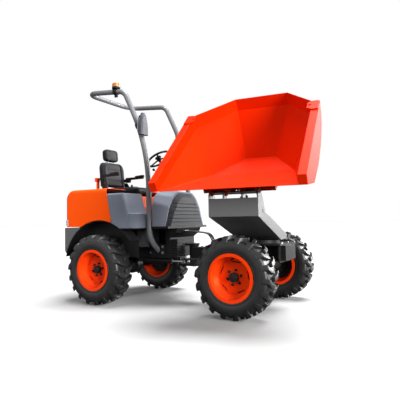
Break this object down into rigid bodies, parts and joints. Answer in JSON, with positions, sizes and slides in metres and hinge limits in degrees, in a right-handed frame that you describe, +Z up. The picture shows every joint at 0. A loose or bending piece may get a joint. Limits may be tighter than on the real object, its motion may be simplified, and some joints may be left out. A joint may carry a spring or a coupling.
{
  "type": "site dumper with a swivel skip",
  "caption": "Articulated site dumper with a roll hoop, a driver seat over the rear engine, chevron-lugged tyres, and an open faceted skip that swivels and tips.",
  "frame": {"origin": "on the ground, in the middle of the whole machine's footprint as it stands with the skip swung to its right and partly tipped", "axes": "+X forward, +Y to the left, +Z up"},
  "size_m": [2.9898, 1.9042, 2.4824],
  "materials": {
    "skip_orange": "gloss",
    "beam_red": "satin",
    "hood_orange": "gloss",
    "rim_orange": "gloss",
    "tyre_rubber": "matte",
    "panel_grey": "satin",
    "grille_grey": "satin",
    "hoop_grey": "satin",
    "pedestal_grey": "satin",
    "counter_grey": "satin",
    "chassis_black": "satin",
    "engine_paint": "satin",
    "plastic_black": "satin",
    "seat_vinyl": "satin",
    "bright_steel": "polished",
    "amber_lens": "gloss",
    "lamp_lens": "gloss"
  },
  "bodies": {
    "rear_chassis": {"rear_frame": "chassis_black", "pivot_pin": "bright_steel", "engine_block": "engine_paint", "rear_axle": "chassis_black", "counterweight": "counter_grey", "tow_jaw": "chassis_black", "mudguards": "plastic_black", "side_pods": "panel_grey", "platform": "chassis_black", "cowl": "panel_grey", "cowl_grille": "grille_grey", "console": "panel_grey", "steering_wheel": "plastic_black", "seat_box": "hood_orange", "seat_cushion": "seat_vinyl", "seat_rails": "plastic_black", "seat_back": "seat_vinyl", "headrest": "seat_vinyl", "armrests": "plastic_black", "roll_hoop": "hoop_grey", "valve_block": "chassis_black", "beacon_base": "plastic_black", "beacon_dome": "amber_lens", "mirrors": "plastic_black", "steer_barrel": "chassis_black"},
    "front_chassis": {"front_frame": "chassis_black", "front_axle": "chassis_black", "slew_ring": "chassis_black"},
    "turntable": {"pedestal": "pedestal_grey", "hinge_pin": "bright_steel"},
    "skip": {"skip_shell": "skip_orange", "skip_side_boxes": "skip_orange", "skip_underframe": "beam_red"},
    "tip_barrel": {"tip_barrel": "chassis_black"},
    "tip_rod": {"tip_rod": "bright_steel"},
    "steer_rod": {"steer_rod": "bright_steel"},
    "hood": {"hood": "hood_orange", "rear_lamps": "lamp_lens"},
    "front_left_wheel": {"front_left_tyre": "tyre_rubber", "front_left_rim": "rim_orange"},
    "front_right_wheel": {"front_right_tyre": "tyre_rubber", "front_right_rim": "rim_orange"},
    "rear_left_wheel": {"rear_left_tyre": "tyre_rubber", "rear_left_rim": "rim_orange"},
    "rear_right_wheel": {"rear_right_tyre": "tyre_rubber", "rear_right_rim": "rim_orange"}
  },
  "joints": [
    {"name": "steer", "type": "hinge", "parent": "rear_chassis", "child": "front_chassis", "pos_m": [-0.08685, 0.23406, 0.49855], "axis": [0, 0, 1], "range_deg": [-33, 33]},
    {"name": "slew", "type": "hinge", "parent": "front_chassis", "child": "turntable", "pos_m": [0.71515, 0.23406, 0.68855], "axis": [0, 0, 1], "range_deg": [-6, 174]},
    {"name": "tip", "type": "hinge", "parent": "turntable", "child": "skip", "pos_m": [0.79877, -0.56156, 1.12855], "axis": [0.9945, 0.1045, 0], "range_deg": [-30, 38]},
    {"name": "tip_barrel_swing", "type": "hinge", "parent": "turntable", "child": "tip_barrel", "pos_m": [0.74651, -0.0643, 0.83655], "axis": [0.9945, 0.1045, 0], "range_deg": [-6, 5]},
    {"name": "tip_rod_slide", "type": "slide", "parent": "tip_barrel", "child": "tip_rod", "axis": [0.0713, -0.6785, 0.7311], "range_m": [-0.09, 0.12]},
    {"name": "steer_rod_slide", "type": "slide", "parent": "rear_chassis", "child": "steer_rod", "axis": [1, 0, 0], "range_m": [-0.115, 0.115]},
    {"name": "hood_lift", "type": "hinge", "parent": "rear_chassis", "child": "hood", "pos_m": [-1.47085, 0.23406, 0.84555], "axis": [0, -1, 0], "range_deg": [0, 60]},
    {"name": "front_left_wheel_spin", "type": "hinge", "parent": "front_chassis", "child": "front_left_wheel", "pos_m": [0.69315, 0.82406, 0.37855], "axis": [0, 1, 0], "continuous": true},
    {"name": "front_right_wheel_spin", "type": "hinge", "parent": "front_chassis", "child": "front_right_wheel", "pos_m": [0.69315, -0.35594, 0.37855], "axis": [0, 1, 0], "continuous": true},
    {"name": "rear_left_wheel_spin", "type": "hinge", "parent": "rear_chassis", "child": "rear_left_wheel", "pos_m": [-0.94685, 0.82406, 0.37855], "axis": [0, 1, 0], "continuous": true},
    {"name": "rear_right_wheel_spin", "type": "hinge", "parent": "rear_chassis", "child": "rear_right_wheel", "pos_m": [-0.94685, -0.35594, 0.37855], "axis": [0, 1, 0], "continuous": true}
  ],
  "couplings": [
    {"joint": "tip_barrel_swing", "follows": "tip", "ratio": -0.12},
    {"joint": "tip_rod_slide", "follows": "tip", "m_per_rad": 0.16},
    {"joint": "steer_rod_slide", "follows": "steer", "m_per_rad": 0.19}
  ]
}
